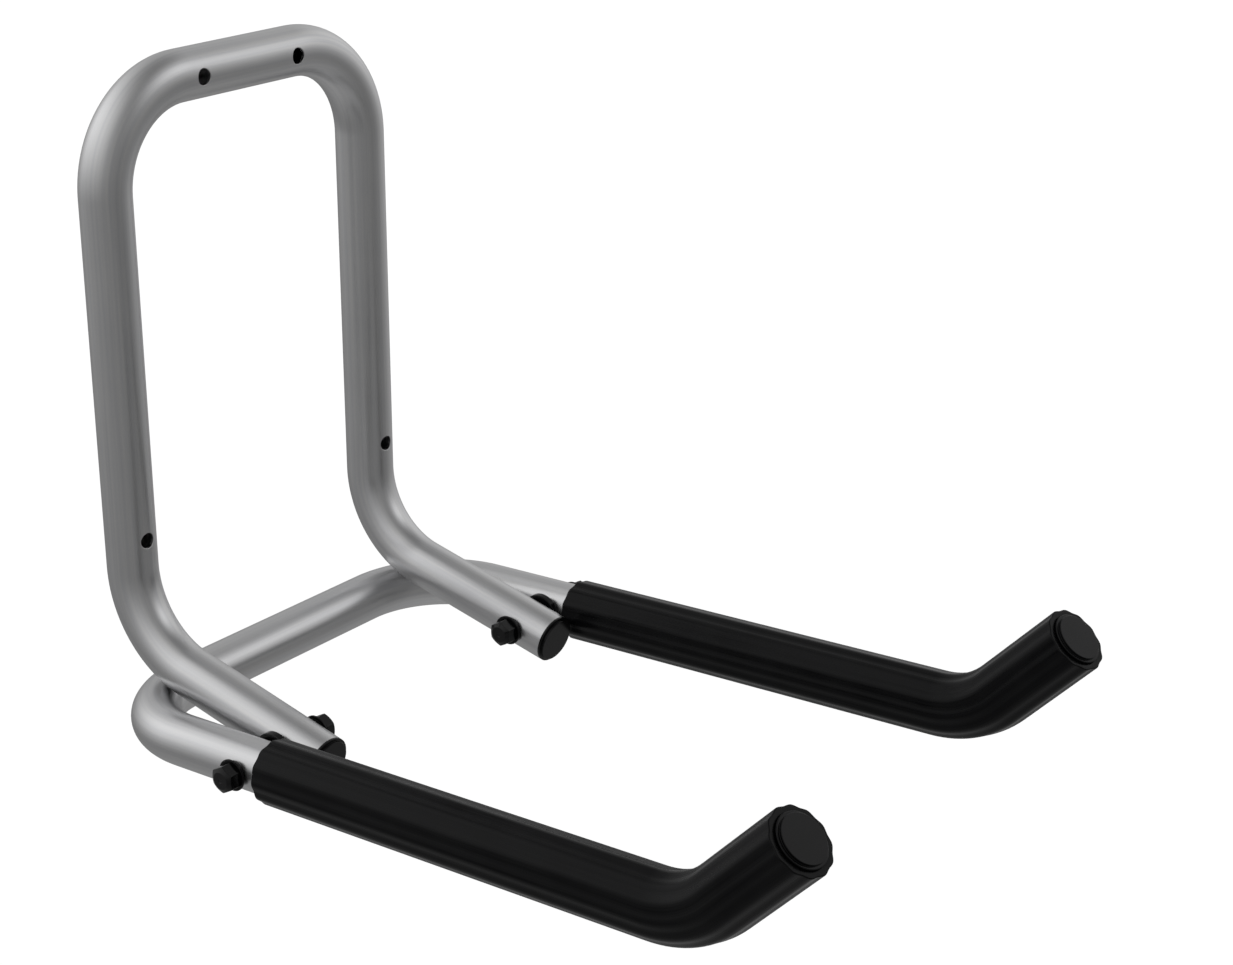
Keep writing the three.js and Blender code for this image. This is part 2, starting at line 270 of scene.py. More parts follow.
class Skin:
    """Vertices and faces of one piece, with where each vertex would be if the tube were straight."""

    def __init__(self):
        self.points = []
        self.straightened = []
        self.faces = []

    def add(self, point, straightened=None):
        self.points.append(point)
        self.straightened.append(straightened if straightened is not None else point)
        return len(self.points) - 1

    def join(self, ring, following, skip=()):
        """Quads between two closed rings of the same count."""
        count = len(ring)
        for j in range(count):
            if j in skip:
                continue
            k = (j + 1) % count
            self.faces.append((ring[j], ring[k], following[k], following[j]))

    def fan(self, ring, centre, outwards):
        count = len(ring)
        for j in range(count):
            k = (j + 1) % count
            self.faces.append((ring[j], ring[k], centre) if outwards else (ring[k], ring[j], centre))

    def drop_unused(self):
        """Leaves out the vertices that no face uses, such as those in a tube's wall where a hole is."""
        used = sorted({i for face in self.faces for i in face})
        new_index = {old: new for new, old in enumerate(used)}
        self.points = [self.points[i] for i in used]
        self.straightened = [self.straightened[i] for i in used]
        self.faces = [tuple(new_index[i] for i in face) for face in self.faces]

    def piece(self, name, node, body, slot, material):
        self.drop_unused()
        mesh = bpy.data.meshes.new(name)
        mesh.from_pydata([tuple(p) for p in self.points], [], self.faces)
        mesh.validate()
        mesh.shade_smooth()
        attribute = mesh.attributes.new("straightened", "FLOAT_VECTOR", "POINT")
        attribute.data.foreach_set("vector", [c for p in self.straightened for c in p])
        mesh.materials.append(material)
        made = bpy.data.objects.new(name, mesh)
        bpy.context.scene.collection.objects.link(made)
        weighted = made.modifiers.new("weighted normals", "WEIGHTED_NORMAL")
        weighted.keep_sharp = True
        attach(made, body)
        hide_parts(node)
        return made


def section_point(path, s, radius, angle):
    local = Vector((radius * math.cos(angle), radius * math.sin(angle), 0))
    return path.frame(s) @ local, Vector((local.x, local.y, s))


def section(skin, path, s, radius_at, count):
    """A closed ring of vertices across the path at s."""
    ring = []
    for j in range(count):
        angle = 2 * math.pi * j / count
        ring.append(skin.add(*section_point(path, s, radius_at(angle), angle)))
    return ring


# ----------------------------------------------------------------------------------------------------- tubes

TUBE_SIDES = 80
WINDOW_CELLS = 6  # half the width of the square of cells that a hole is set in
WINDOW_HALF_LENGTH = 6.6 * MM
LIP_R = 0.45 * MM
END_EDGE_R = 0.15 * MM


class Hole:
    """A round hole through one wall of a tube: its place along the tube, direction out of it, and radius."""

    def __init__(self, path, s, direction, radius):
        local = path.frame(s).to_3x3().transposed() @ direction
        self.angle = math.atan2(local.y, local.x)
        self.s = s
        self.radius = radius
        self.column = round(self.angle * TUBE_SIDES / (2 * math.pi))

    def stops(self):
        step = WINDOW_HALF_LENGTH / WINDOW_CELLS
        return [self.s + i * step for i in range(-WINDOW_CELLS, WINDOW_CELLS + 1)]

    def perimeter(self):
        """The window's edge as (row, column) offsets from its centre, seen anticlockwise from outside."""
        n = WINDOW_CELLS
        sides = [(-n, i) for i in range(-n, n)]
        sides += [(i, n) for i in range(-n, n)]
        sides += [(n, -i) for i in range(-n, n)]
        sides += [(-i, -n) for i in range(-n, n)]
        return sides


def cut_hole(skin, path, hole, stops, outer_rings, inner_rings):
    """Fills the window in the tube's two walls with rings that run in to the hole, through it and out."""
    middle = min(range(len(stops)), key=lambda i: abs(stops[i] - hole.s))
    inner_radius = TUBE_R - TUBE_WALL
    edge = hole.perimeter()
    bearings = []
    for row, column in edge:
        across = TUBE_R * math.sin(column * 2 * math.pi / TUBE_SIDES)
        bearings.append(math.atan2(across, stops[middle + row] - hole.s))

    def rim_point(bearing, from_axis, tube_radius):
        """s and angle of the point on a round tube that is from_axis away from the hole's axis."""
        across = from_axis * math.sin(bearing)
        return hole.s + from_axis * math.cos(bearing), hole.angle + math.asin(across / tube_radius)

    def wall_ring(from_axis, height_of):
        """Vertices round the hole's own axis, each at a height above the tube's centreline."""
        ring = []
        for bearing in bearings:
            along = from_axis * math.cos(bearing)
            across = from_axis * math.sin(bearing)
            height = height_of(bearing)
            angle = hole.angle + math.atan2(across, height)
            radius = math.hypot(across, height)
            ring.append(skin.add(*section_point(path, hole.s + along, radius, angle)))
        return ring

    def surface_rings(tube_radius, from_axis, grid):
        """Rings on one wall between the window's edge and a circle round the hole, edge first."""
        shares = (0.25, 0.5, 0.75, 0.92)
        rings = [[grid[middle + row][(hole.column + column) % TUBE_SIDES] for row, column in edge]]
        for share in shares:
            ring = []
            for (row, column), bearing in zip(edge, bearings):
                edge_s = stops[middle + row]
                edge_angle = hole.angle + column * 2 * math.pi / TUBE_SIDES
                rim_s, rim_angle = rim_point(bearing, from_axis, tube_radius)
                s = edge_s + (rim_s - edge_s) * share
                angle = edge_angle + (rim_angle - edge_angle) * share
                ring.append(skin.add(*section_point(path, s, tube_radius, angle)))
            rings.append(ring)
        return rings

    def surface_height(tube_radius, from_axis):
        return lambda bearing: math.sqrt(tube_radius**2 - (from_axis * math.sin(bearing)) ** 2)

    outside = surface_rings(TUBE_R, hole.radius + LIP_R, outer_rings)
    lip_start = surface_height(TUBE_R, hole.radius + LIP_R)
    lip_corner = surface_height(TUBE_R, hole.radius)
    lip = []
    for step in range(5):
        t = step / 4
        from_axis = hole.radius + LIP_R * (1 - t) ** 2
        lip.append(wall_ring(from_axis, lambda bearing: (
            (1 - t) ** 2 * lip_start(bearing)
            + 2 * t * (1 - t) * lip_corner(bearing)
            + t**2 * (lip_corner(bearing) - LIP_R)
        )))
    inner_rim = wall_ring(hole.radius, surface_height(inner_radius, hole.radius))
    inside = surface_rings(inner_radius, hole.radius, inner_rings)
    rings = [*outside, *lip, inner_rim, *reversed(inside)]
    for ring, following in zip(rings, rings[1:]):
        skin.join(ring, following)


def bent_tube(path, holes):
    """A whole bent tube with its bore, through holes with rounded lips, and softened end edges."""
    skin = Skin()
    inner_radius = TUBE_R - TUBE_WALL
    low, high = -path.length + END_EDGE_R, path.length - END_EDGE_R
    stops = path.stops(low, high, [s for hole in holes for s in hole.stops()])
    outer = [section(skin, path, s, lambda angle: TUBE_R, TUBE_SIDES) for s in stops]
    inner = [section(skin, path, s, lambda angle: inner_radius, TUBE_SIDES) for s in stops]
    windows = [set() for _ in stops]
    for hole in holes:
        middle = min(range(len(stops)), key=lambda i: abs(stops[i] - hole.s))
        for row in range(middle - WINDOW_CELLS, middle + WINDOW_CELLS):
            for column in range(-WINDOW_CELLS, WINDOW_CELLS):
                windows[row].add((hole.column + column) % TUBE_SIDES)
    for row in range(len(stops) - 1):
        skin.join(outer[row], outer[row + 1], windows[row])
        skin.join(inner[row + 1], inner[row], windows[row])
    for hole in holes:
        cut_hole(skin, path, hole, stops, outer, inner)
    for end, last in ((path.length, -1), (-path.length, 0)):
        rim = section(skin, path, end, lambda angle: TUBE_R - END_EDGE_R, TUBE_SIDES)
        bore = section(skin, path, end, lambda angle: inner_radius + END_EDGE_R, TUBE_SIDES)
        rings = [outer[last], rim, bore, inner[last]]
        if end < 0:
            rings.reverse()
        for ring, following in zip(rings, rings[1:]):
            skin.join(ring, following)
    return skin


# --------------------------------------------------------------------------------------------------- sleeves

SLEEVE_SIDES = 12 * SLEEVE_FLUTES


def fluted_radius(angle):
    dip = SLEEVE_FLUTE_DEPTH / 2 * (1 - math.cos(SLEEVE_FLUTES * angle))
    return SLEEVE_CREST_R - dip


def arm_sleeve(side):
    """A fluted sleeve on one arm, from just past the pivot to the tube's end, with rounded edges."""
    skin = Skin()
    inner_radius = TUBE_R + SNUG
    near, far = sorted((side * sleeve_start, side * (carrier.length + SLEEVE_LIP)))
    stops = carrier.stops(near + SLEEVE_EDGE_R, far - SLEEVE_EDGE_R)
    edge_steps = 4
    profile = []  # length along the path, how far in from the fluted outline
    for step in range(edge_steps):
        turn = math.pi / 2 * step / edge_steps
        profile.append((near + SLEEVE_EDGE_R * (1 - math.sin(turn)), SLEEVE_EDGE_R * (1 - math.cos(turn))))
    profile.reverse()
    profile.insert(0, (near, SLEEVE_EDGE_R))
    profile += [(s, 0.0) for s in stops[1:-1]]
    for step in range(edge_steps + 1):
        turn = math.pi / 2 * step / edge_steps
        profile.append((far - SLEEVE_EDGE_R * (1 - math.sin(turn)), SLEEVE_EDGE_R * (1 - math.cos(turn))))
    rings = []
    for s, inset in profile:
        rings.append(section(skin, carrier, s, lambda angle: fluted_radius(angle) - inset, SLEEVE_SIDES))
    for s in (far, *stops[::-1], near):
        rings.append(section(skin, carrier, s, lambda angle: inner_radius, SLEEVE_SIDES))
    rings.append(rings[0])
    for ring, following in zip(rings, rings[1:]):
        skin.join(ring, following)
    return skin


# ---------------------------------------------------------------------------------------------- turned parts

def rounded(profile, radii, steps=4):
    """The profile's corners turned into arcs, each of its own radius. Ends stay as they are."""
    out = [profile[0]]
    for i in range(1, len(profile) - 1):
        corner = Vector(profile[i])
        before = Vector(profile[i - 1]) - corner
        after = Vector(profile[i + 1]) - corner
        radius = radii[i]
        if radius == 0:
            out.append(tuple(corner))
            continue
        half = before.angle(after) / 2
        reach = min(radius / math.tan(half), 0.49 * before.length, 0.49 * after.length)
        start = corner + before.normalized() * reach
        end = corner + after.normalized() * reach
        centre_way = (before.normalized() + after.normalized()).normalized()
        centre = corner + centre_way * (reach / math.cos(half))
        for k in range(steps + 1):
            point = start.lerp(end, k / steps) - centre
            out.append(tuple(centre + point.normalized() * (start - centre).length))
    out.append(profile[-1])
    return out


def even_angles(count):
    return [2 * math.pi * j / count for j in range(count)]


def turned(profile_at, angles, matrix, closed=False):
    """A piece swept round the local Z axis from (radius, height) profiles.

    They run anticlockwise seen with the axis on the left. An open profile starts and ends on the axis, and a
    closed one goes round a bore.
    """
    skin = Skin()
    profiles = [profile_at(angle) for angle in angles]
    count = len(profiles[0])

    def place(radius, height, angle):
        local = Vector((radius * math.cos(angle), radius * math.sin(angle), height))
        return skin.add(matrix @ local, local)

    inner_rows = range(count) if closed else range(1, count - 1)
    rings = []
    for i in inner_rows:
        rings.append([place(*profiles[j][i], angle) for j, angle in enumerate(angles)])
    if closed:
        rings.append(rings[0])
    for ring, following in zip(rings, rings[1:]):
        skin.join(ring, following)
    if not closed:
        bottom = place(*profiles[0][0], 0)
        top = place(*profiles[0][-1], 0)
        skin.fan(rings[0], bottom, outwards=False)
        skin.fan(rings[-1], top, outwards=True)
    return skin


def hexagon_angles(across_flats, corner_r):
    """Angles round a hexagon with a corner at angle 0, close together at its rounded corners."""
    reach = corner_reach(across_flats, corner_r)
    within = [-reach, -reach / 2, 0, reach / 2, reach]
    flats = 6
    within += [reach + (math.pi / 3 - 2 * reach) * k / flats for k in range(1, flats)]
    return [corner * math.pi / 3 + offset for corner in range(6) for offset in within]


def corner_reach(across_flats, corner_r):
    arc_centre = (across_flats / 2 - corner_r) / math.cos(math.pi / 6)
    return math.atan2(corner_r / 2, arc_centre + corner_r * math.cos(math.pi / 6))


def hexagon_radius(angle, across_flats, corner_r):
    """Distance from the middle to the outline of a hexagon with rounded corners, one of them at angle 0."""
    from_corner = (angle + math.pi / 6) % (math.pi / 3) - math.pi / 6
    if abs(from_corner) > corner_reach(across_flats, corner_r):
        return across_flats / 2 / math.cos(math.pi / 6 - abs(from_corner))
    arc_centre = (across_flats / 2 - corner_r) / math.cos(math.pi / 6)
    sideways = arc_centre * math.sin(from_corner)
    return arc_centre * math.cos(from_corner) + math.sqrt(corner_r**2 - sideways**2)


def stacked(centre_x, direction, tube_direction):
    """A matrix at a tube's crest on the pivot axis: local Z points away from the tube, local X along it."""
    out = X * direction
    along = tube_direction.normalized()
    matrix = Matrix((along, out.cross(along), out)).transposed().to_4x4()
    matrix.translation = Vector((centre_x + direction * TUBE_R, PIVOT.y, PIVOT.z))
    return matrix


def upright(matrix):
    """The same place and Z axis, with local X straight up, for hexagons that have a corner at the top."""
    out = matrix.col[2].to_3d()
    turned_up = Matrix((Z, out.cross(Z), out)).transposed().to_4x4()
    turned_up.translation = matrix.translation
    return turned_up


def end_plug(matrix):
    """A tube plug with a flange, a raised face and a hollow spigot. The tube's end is at height 0."""
    spigot_r = TUBE_R - TUBE_WALL - PLUG_PLAY
    hollow_r = spigot_r - PLUG_SPIGOT_WALL
    face_r = TUBE_R - PLUG_STEP_W
    ceiling = PLUG_FACE_H - PLUG_SKIN
    edge = 0.3 * MM
    corners = [
        (0, ceiling, 0),
        (hollow_r, ceiling, edge),
        (hollow_r, -PLUG_SPIGOT_L, edge),
        (spigot_r, -PLUG_SPIGOT_L, edge),
        (spigot_r, SNUG, 0),
        (TUBE_R, SNUG, 0),
        (TUBE_R, PLUG_FLANGE_H, 0.5 * MM),
        (face_r, PLUG_FLANGE_H, 0.25 * MM),
        (face_r, PLUG_FACE_H, 0.3 * MM),
        (0, PLUG_FACE_H, 0),
    ]
    profile = rounded([c[:2] for c in corners], [c[2] for c in corners])
    return turned(lambda angle: profile, even_angles(96), matrix)


def washer_seat(matrix):
    """The washer under a cap: a round flange, and a boss whose underside fits the tube."""
    boss_r = SEAT_R - SEAT_BOSS_STEP
    flange_bottom = SEAT_TOP - SEAT_FLANGE_T

    def profile(angle):
        def on_tube(radius):
            across = radius * math.sin(angle)
            return math.sqrt(TUBE_R**2 - across**2) - TUBE_R + SNUG

        steps = 4
        under = []
        for k in range(steps + 1):
            radius = PIVOT_HOLE_R + (boss_r - PIVOT_HOLE_R) * k / steps
            under.append((radius, on_tube(radius)))
        rest = [
            (boss_r, flange_bottom, 0.2 * MM),
            (SEAT_R, flange_bottom, 0.3 * MM),
            (SEAT_R, SEAT_TOP, 0.5 * MM),
            (PIVOT_HOLE_R, SEAT_TOP, 0),
        ]
        outline = rounded([under[-1], *[c[:2] for c in rest]], [0, *[c[2] for c in rest]])
        return under[:-1] + outline

    return turned(profile, even_angles(72), matrix, closed=True)


def chamfer_height(radius, top, end_radius):
    """Where a hexagon's wall meets the cone that turns its corners off."""
    return top - (radius - end_radius) * math.tan(math.radians(HEX_CHAMFER))


def hexagonal_cap(matrix):
    """A hollow hexagonal cap whose end is turned down to a round face with a moulding mark in its middle."""
    corner_r = 0.8 * MM
    cavity_af = CAP_AF - 2 * CAP_WALL
    ceiling = CAP_TOP - CAP_END_T
    base = SEAT_TOP + SNUG
    floor = CAP_TOP - CAP_MARK_DEPTH

    def profile(angle):
        outside = hexagon_radius(angle, CAP_AF, corner_r)
        inside = hexagon_radius(angle, cavity_af, corner_r)
        corners = [
            (0, ceiling, 0),
            (CAP_FACE_R, ceiling, 0.3 * MM),
            (inside, chamfer_height(inside, ceiling, CAP_FACE_R), 0.3 * MM),
            (inside, base, 0.1 * MM),
            (outside, base, 0.15 * MM),
            (outside, chamfer_height(outside, CAP_TOP, CAP_FACE_R), 0.5 * MM),
            (CAP_FACE_R, CAP_TOP, 0.4 * MM),
            (CAP_MARK_R, CAP_TOP, 0.2 * MM),
            (CAP_MARK_R - CAP_MARK_DEPTH, floor, 0.1 * MM),
            (0, floor, 0),
        ]
        return rounded([c[:2] for c in corners], [c[2] for c in corners])

    return turned(profile, hexagon_angles(CAP_AF, corner_r), matrix)


def pivot_bolt(matrix, length):
    """A hexagon bolt. Its head stands on the seat, and its shank runs back through arm, spacer and leg."""
    corner_r = 0.4 * MM
    seat = SEAT_TOP + SNUG
    washer_face = 0.4 * MM
    top = seat + BOLT_HEAD_H
    end_radius = HEX_AF / 2 - HEX_END_INSET
    thread_depth = 0.6 * THREAD_PITCH

    def profile(angle):
        outside = hexagon_radius(angle, HEX_AF, corner_r)
        tip = seat - length
        out = [(0, tip), (BOLT_R - thread_depth, tip)]
        for k in range(round(THREAD_LENGTH / THREAD_PITCH)):
            root = tip + (k + 0.5) * THREAD_PITCH
            out.append((BOLT_R - 0.05 * MM, root))
            out.append((BOLT_R - thread_depth, root + 0.5 * THREAD_PITCH))
        out.append((BOLT_R, tip + THREAD_LENGTH + THREAD_PITCH))
        corners = [
            (BOLT_R, seat, 0),
            (end_radius, seat, 0),
            (end_radius, seat + washer_face, 0),
            (outside, seat + washer_face, 0.15 * MM),
            (outside, chamfer_height(outside, top, end_radius), 0.2 * MM),
            (end_radius, top, 0.2 * MM),
            (0, top, 0),
        ]
        return out + rounded([c[:2] for c in corners], [c[2] for c in corners])

    return turned(profile, hexagon_angles(HEX_AF, corner_r), matrix)


def lock_nut(matrix):
    """A hexagon nut with a round collar that holds its locking ring."""
    corner_r = 0.4 * MM
    seat = SEAT_TOP + SNUG
    hexagon_top = seat + 0.75 * NUT_H
    end_radius = HEX_AF / 2 - HEX_END_INSET
    collar_r = HEX_AF / 2 - 0.9 * MM
    bore_r = BOLT_R + SNUG

    def profile(angle):
        outside = hexagon_radius(angle, HEX_AF, corner_r)
        foot = seat + (outside - end_radius) * math.tan(math.radians(HEX_CHAMFER))
        corners = [
            (bore_r + 0.4 * MM, seat, 0),
            (end_radius, seat, 0.1 * MM),
            (outside, foot, 0.15 * MM),
            (outside, chamfer_height(outside, hexagon_top, end_radius), 0.15 * MM),
            (end_radius, hexagon_top, 0.1 * MM),
            (collar_r, hexagon_top, 0.3 * MM),
            (collar_r, seat + NUT_H, 0.8 * MM),
            (bore_r, seat + NUT_H, 0.2 * MM),
            (bore_r, seat + 0.4 * MM, 0),
        ]
        return rounded([c[:2] for c in corners], [c[2] for c in corners])

    return turned(profile, hexagon_angles(HEX_AF, corner_r), matrix, closed=True)


def pivot_spacer(matrix, thickness):
    """The plastic disc between the leg and the arm. Height 0 is the leg's crest."""
    edge = 0.6 * MM
    corners = [
        (PIVOT_HOLE_R, SNUG, 0),
        (SPACER_R, SNUG, edge),
        (SPACER_R, thickness - SNUG, edge),
        (PIVOT_HOLE_R, thickness - SNUG, 0),
    ]
    profile = rounded([c[:2] for c in corners], [c[2] for c in corners])
    return turned(lambda angle: profile, even_angles(72), matrix, closed=True)


# ------------------------------------------------------------------------------------------------- materials

class Nodes:
    """Shorthand for building a node tree."""

    def __init__(self, tree):
        self.tree = tree

    def link(self, source, target):
        self.tree.links.new(source, target)

    def add(self, kind, **settings):
        node = self.tree.nodes.new(kind)
        for key, value in settings.items():
            setattr(node, key, value)
        return node

    def position(self):
        return self.add("ShaderNodeTexCoord").outputs["Object"]

    def straightened(self, stretch=(1, 1, 1)):
        """The place on the straightened tube, scaled along and across it."""
        attribute = self.add("ShaderNodeAttribute", attribute_name="straightened")
        mapping = self.add("ShaderNodeMapping")
        mapping.inputs["Scale"].default_value = stretch
        self.link(attribute.outputs["Vector"], mapping.inputs["Vector"])
        return mapping.outputs["Vector"]

    def noise(self, vector, scale, detail=3.0, roughness=0.5):
        node = self.add("ShaderNodeTexNoise")
        node.inputs["Scale"].default_value = scale
        node.inputs["Detail"].default_value = detail
        node.inputs["Roughness"].default_value = roughness
        self.link(vector, node.inputs["Vector"])
        return node.outputs["Fac"]

    def spread(self, value, low, high, to_low, to_high):
        node = self.add("ShaderNodeMapRange")
        node.inputs["From Min"].default_value = low
        node.inputs["From Max"].default_value = high
        node.inputs["To Min"].default_value = to_low
        node.inputs["To Max"].default_value = to_high
        self.link(value, node.inputs["Value"])
        return node.outputs["Result"]

    def math(self, operation, a, b):
        node = self.add("ShaderNodeMath", operation=operation)
        for socket, value in zip(node.inputs, (a, b)):
            if isinstance(value, (int, float)):
                socket.default_value = value
            else:
                self.link(value, socket)
        return node.outputs["Value"]

    def ramp(self, value, low_colour, high_colour):
        node = self.add("ShaderNodeValToRGB")
        node.color_ramp.elements[0].color = (*low_colour, 1)
        node.color_ramp.elements[1].color = (*high_colour, 1)
        self.link(value, node.inputs["Fac"])
        return node.outputs["Color"]

    def bump(self, height, distance, strength=1.0, onto=None):
        node = self.add("ShaderNodeBump")
        node.inputs["Strength"].default_value = strength
        node.inputs["Distance"].default_value = distance
        self.link(height, node.inputs["Height"])
        if onto:
            self.link(onto, node.inputs["Normal"])
        return node.outputs["Normal"]


class Surface(Nodes):
    """A new material with one Principled shader."""

    def __init__(self, name, **shader_inputs):
        self.material = bpy.data.materials.new(name)
        self.material.use_nodes = True
        super().__init__(self.material.node_tree)
        self.tree.nodes.clear()
        self.shader = self.add("ShaderNodeBsdfPrincipled")
        self.link(self.shader.outputs["BSDF"], self.add("ShaderNodeOutputMaterial").inputs["Surface"])
        for key, value in shader_inputs.items():
            self.shader.inputs[key.replace("_", " ")].default_value = value


def silver_paint():
    """Satin metallic paint over drawn steel tube: fine flake, faint lines along it, slight orange peel."""
    n = Surface("silver_paint", Metallic=1.0)
    flake = n.noise(n.position(), 2600, detail=2.5, roughness=0.7)
    drawn = n.noise(n.straightened((1, 1, 0.012)), 520, detail=2)
    cloud = n.noise(n.position(), 28, detail=3)
    tone = n.math("ADD", n.math("MULTIPLY", flake, 0.45), n.math("MULTIPLY", drawn, 0.45))
    tone = n.math("ADD", tone, n.math("MULTIPLY", cloud, 0.10))
    n.link(n.ramp(n.spread(tone, 0.3, 0.7, 0, 1), (0.558, 0.564, 0.584), (0.710, 0.706, 0.698)),
           n.shader.inputs["Base Color"])
    n.link(n.spread(n.math("ADD", flake, cloud), 0.7, 1.3, 0.29, 0.33), n.shader.inputs["Roughness"])
    peel = n.bump(n.noise(n.position(), 500, detail=2), 0.03 * MM, 0.35)
    n.link(n.bump(flake, 0.015 * MM, 0.4, onto=peel), n.shader.inputs["Normal"])
    return n.material


def black_rubber():
    """Extruded rubber: a satin skin with fine lines along the sleeve."""
    n = Surface("black_rubber", Specular_IOR_Level=0.125)
    lines = n.noise(n.straightened((1, 1, 0.012)), 900, detail=3, roughness=0.6)
    fine = n.noise(n.straightened((1, 1, 0.03)), 2600, detail=2)
    bloom = n.noise(n.position(), 40, detail=4)
    tone = n.math("ADD", n.math("MULTIPLY", lines, 0.6), n.math("MULTIPLY", bloom, 0.4))
    n.link(n.ramp(n.spread(tone, 0.35, 0.65, 0, 1), (0.0012, 0.0012, 0.0015), (0.0044, 0.0044, 0.0050)),
           n.shader.inputs["Base Color"])
    n.link(n.spread(n.math("ADD", lines, bloom), 0.7, 1.3, 0.18, 0.32), n.shader.inputs["Roughness"])
    grooves = n.bump(lines, 0.08 * MM, 0.9)
    n.link(n.bump(fine, 0.02 * MM, 0.4, onto=grooves), n.shader.inputs["Normal"])
    return n.material


def black_plastic():
    """Moulded plastic with a fine grain. The bolt caps, the only tall pieces of it, are glossier."""
    n = Surface("black_plastic")
    place = n.add("ShaderNodeSeparateXYZ")
    n.link(n.straightened(), place.inputs["Vector"])
    specular = n.spread(place.outputs["Z"], 3.6 * MM, 4.2 * MM, 0.18, 0.32)
    n.link(specular, n.shader.inputs["Specular IOR Level"])
    grain = n.noise(n.position(), 2200, detail=2)
    cloud = n.noise(n.position(), 60, detail=3)
    n.link(n.ramp(n.spread(cloud, 0.3, 0.7, 0, 1), (0.0016, 0.0016, 0.0019), (0.0042, 0.0042, 0.0047)),
           n.shader.inputs["Base Color"])
    n.link(n.spread(n.math("ADD", grain, cloud), 0.7, 1.3, 0.15, 0.25), n.shader.inputs["Roughness"])
    n.link(n.bump(grain, 0.03 * MM, 0.5), n.shader.inputs["Normal"])
    return n.material


def zinc_steel():
    """Bright zinc plating, slightly cloudy."""
    n = Surface("zinc_steel", Metallic=1.0)
    cloud = n.noise(n.position(), 350, detail=4)
    n.link(n.ramp(n.spread(cloud, 0.3, 0.7, 0, 1), (0.50, 0.51, 0.53), (0.62, 0.62, 0.60)),
           n.shader.inputs["Base Color"])
    n.link(n.spread(cloud, 0.3, 0.7, 0.22, 0.38), n.shader.inputs["Roughness"])
    n.link(n.bump(cloud, 0.01 * MM, 0.3), n.shader.inputs["Normal"])
    return n.material


materials = {
    "silver_paint": silver_paint(),
    "black_rubber": black_rubber(),
    "black_plastic": black_plastic(),
    "zinc_steel": zinc_steel(),
}


# --------------------------------------------------------------------------------------------- the assembly

def put(skin, node, body, slot):
    return skin.piece(f"{node}_fine", node, body, slot, materials[slot])


def through_hole(path, s, direction, radius):
    return [Hole(path, s, direction, radius), Hole(path, s, -direction, radius)]


top_screw = LEG_X - TOP_BEND_R - TOP_SCREW_TO_BEND
leg_screw = lower_bend_start - LEG_SCREW_TO_BEND
bracket_holes = []
carrier_holes = []
for side in (-1, 1):
    bracket_holes += through_hole(bracket, side * top_screw, Y, SCREW_HOLE_R)
    bracket_holes += through_hole(bracket, side * leg_screw, Y, SCREW_HOLE_R)
    bracket_holes += through_hole(bracket, side * bracket_pivot, X, PIVOT_HOLE_R)
    carrier_holes += through_hole(carrier, side * carrier_pivot, X, PIVOT_HOLE_R)

put(bent_tube(bracket, bracket_holes), "wall_bracket", "bracket", "silver_paint")
put(bent_tube(carrier, carrier_holes), "carrier_tube", "carrier", "silver_paint")

leg_direction = bracket.frame(bracket.length).col[2].to_3d()
bolt_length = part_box("right_pivot_bolt")[1].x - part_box("right_pivot_bolt")[0].x - BOLT_HEAD_H

for name, side in (("left", -1), ("right", 1)):
    put(arm_sleeve(side), f"{name}_arm_sleeve", "carrier", "black_rubber")
    for end, path, body in (("leg", bracket, "bracket"), ("arm", carrier, "carrier")):
        outward = path.frame(side * path.length)
        if side < 0:
            outward = outward @ Matrix.Rotation(math.pi, 4, "X")
        put(end_plug(outward), f"{name}_{end}_end_plug", body, "black_plastic")

    outer = stacked(side * ARM_X, side, ARM)
    inner = stacked(side * LEG_X, -side, leg_direction)
    between = stacked(side * LEG_X, side, leg_direction)
    put(washer_seat(outer), f"{name}_outer_seat", "carrier", "black_plastic")
    put(washer_seat(inner), f"{name}_inner_seat", "bracket", "black_plastic")
    put(hexagonal_cap(upright(outer)), f"{name}_outer_bolt_cap", "bracket", "black_plastic")
    put(hexagonal_cap(upright(inner)), f"{name}_inner_nut_cap", "bracket", "black_plastic")
    put(pivot_bolt(upright(outer), bolt_length), f"{name}_pivot_bolt", "bracket", "zinc_steel")
    put(lock_nut(upright(inner)), f"{name}_lock_nut", "bracket", "zinc_steel")
    gap = ARM_X - LEG_X - 2 * TUBE_R
    put(pivot_spacer(between, gap), f"{name}_pivot_spacer", "bracket", "black_plastic")


# ------------------------------------------------------------------------------------------- camera and light

def add_camera():
    """The viewing angle of a product shot from the left front, slightly above."""
    data = bpy.data.cameras.new("camera")
    data.sensor_width = 36
    data.lens = 68.7
    data.shift_x = 0.0479
    data.shift_y = 0.0281
    data.clip_end = 50
    camera = bpy.data.objects.new("camera", data)
    bpy.context.scene.collection.objects.link(camera)
    yaw = math.radians(51.81)
    pitch = math.radians(22.29)
    level = Vector((math.sin(yaw), math.cos(yaw), 0))
    view = level * math.cos(pitch) - Z * math.sin(pitch)
    camera.location = Vector((-1.0060, -1.0587, 0.2886))
    camera.rotation_mode = "QUATERNION"
    camera.rotation_quaternion = view.to_track_quat("-Z", "Y")
    bpy.context.scene.camera = camera


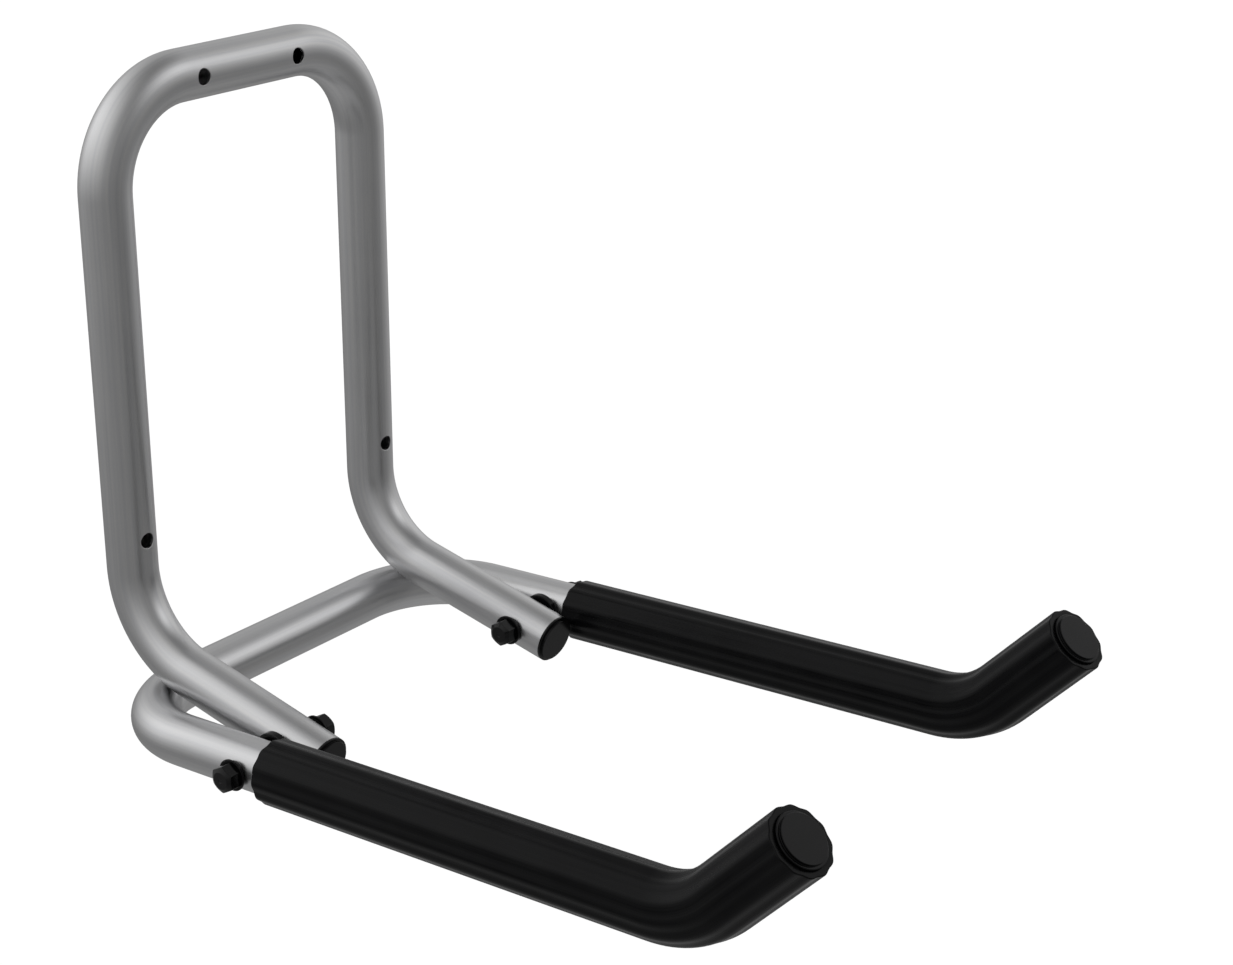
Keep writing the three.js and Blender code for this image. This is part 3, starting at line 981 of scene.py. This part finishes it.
# Soft lights all round: the way to each one from the object, in degrees, how tightly it is gathered, and its
# strength. An azimuth of 0 is towards the wall, and 90 is to the right.
SOFT_LIGHTS = {
    "wall_side": dict(azimuth=-17, elevation=30, tightness=5.5, strength=0.79),
    "left_bank": dict(azimuth=-84, elevation=50, tightness=3.3, strength=0.77),
    "right_bank": dict(azimuth=87, elevation=20, tightness=4.2, strength=0.62),
    "right_front": dict(azimuth=141, elevation=37, tightness=17.0, strength=0.87),
    "front_fill": dict(azimuth=-162, elevation=-25, tightness=7.0, strength=0.05),
}
AMBIENT_BELOW = 0.145
AMBIENT_ABOVE = 0.21
FLOOR_BOUNCE = 0.24  # added straight below
ZENITH_FALL = 0.36  # taken away straight above


def add_world():
    """A plain white room to look at, lit as a studio with a few large soft lights."""
    world = bpy.data.worlds.new("studio")
    world.use_nodes = True
    n = Nodes(world.node_tree)
    direction = n.add("ShaderNodeTexCoord").outputs["Generated"]
    height = n.add("ShaderNodeSeparateXYZ")
    n.link(direction, height.inputs["Vector"])
    z = height.outputs["Z"]
    rise = n.add("ShaderNodeMapRange", interpolation_type="SMOOTHSTEP")
    rise.inputs["From Min"].default_value = -0.35
    rise.inputs["From Max"].default_value = 0.35
    rise.inputs["To Min"].default_value = AMBIENT_BELOW
    rise.inputs["To Max"].default_value = AMBIENT_ABOVE
    n.link(z, rise.inputs["Value"])
    total = n.math("ADD", rise.outputs["Result"], n.spread(z, -1, -0.4, FLOOR_BOUNCE, 0))
    up = n.math("MAXIMUM", z, 0)
    total = n.math("SUBTRACT", total, n.math("MULTIPLY", n.math("MULTIPLY", up, up), ZENITH_FALL))
    for light in SOFT_LIGHTS.values():
        azimuth = math.radians(light["azimuth"])
        elevation = math.radians(light["elevation"])
        level = Vector((math.sin(azimuth), math.cos(azimuth), 0))
        facing = n.add("ShaderNodeVectorMath", operation="DOT_PRODUCT")
        facing.inputs[1].default_value = level * math.cos(elevation) + Z * math.sin(elevation)
        n.link(direction, facing.inputs[0])
        off = n.math("SUBTRACT", facing.outputs["Value"], 1)
        glow = n.math("EXPONENT", n.math("MULTIPLY", off, light["tightness"]), 0)
        total = n.math("ADD", total, n.math("MULTIPLY", glow, light["strength"]))
    lit = world.node_tree.nodes["Background"]
    n.link(n.math("MAXIMUM", total, 0), lit.inputs["Strength"])
    lit.inputs["Color"].default_value = (1, 1, 1, 1)
    plain = n.add("ShaderNodeBackground")
    plain.inputs["Color"].default_value = (1, 1, 1, 1)
    seen = n.add("ShaderNodeLightPath").outputs["Is Camera Ray"]
    choose = n.add("ShaderNodeMixShader")
    n.link(seen, choose.inputs["Fac"])
    n.link(lit.outputs["Background"], choose.inputs[1])
    n.link(plain.outputs["Background"], choose.inputs[2])
    n.link(choose.outputs["Shader"], world.node_tree.nodes["World Output"].inputs["Surface"])
    bpy.context.scene.world = world


def add_floor():
    """A plain pale floor, well below the rack, that the rack's surfaces don't reflect."""
    mesh = bpy.data.meshes.new("floor")
    half = 20
    drop = 0.25
    level = cad_bounds[0].z - drop
    corners = [(-half, -half, level), (half, -half, level), (half, half, level), (-half, half, level)]
    mesh.from_pydata(corners, [], [(0, 1, 2, 3)])
    n = Surface("floor", Roughness=0.9)
    n.shader.inputs["Base Color"].default_value = (0.3, 0.3, 0.3, 1)
    n.shader.inputs["Emission Color"].default_value = (1, 1, 1, 1)
    n.shader.inputs["Emission Strength"].default_value = 0.85
    mesh.materials.append(n.material)
    floor = bpy.data.objects.new("floor", mesh)
    bpy.context.scene.collection.objects.link(floor)
    floor.visible_glossy = False
    floor.visible_diffuse = False
    floor.visible_shadow = False


add_camera()
add_world()
add_floor()
bpy.context.scene.view_settings.view_transform = "Standard"

bpy.context.view_layer.update()
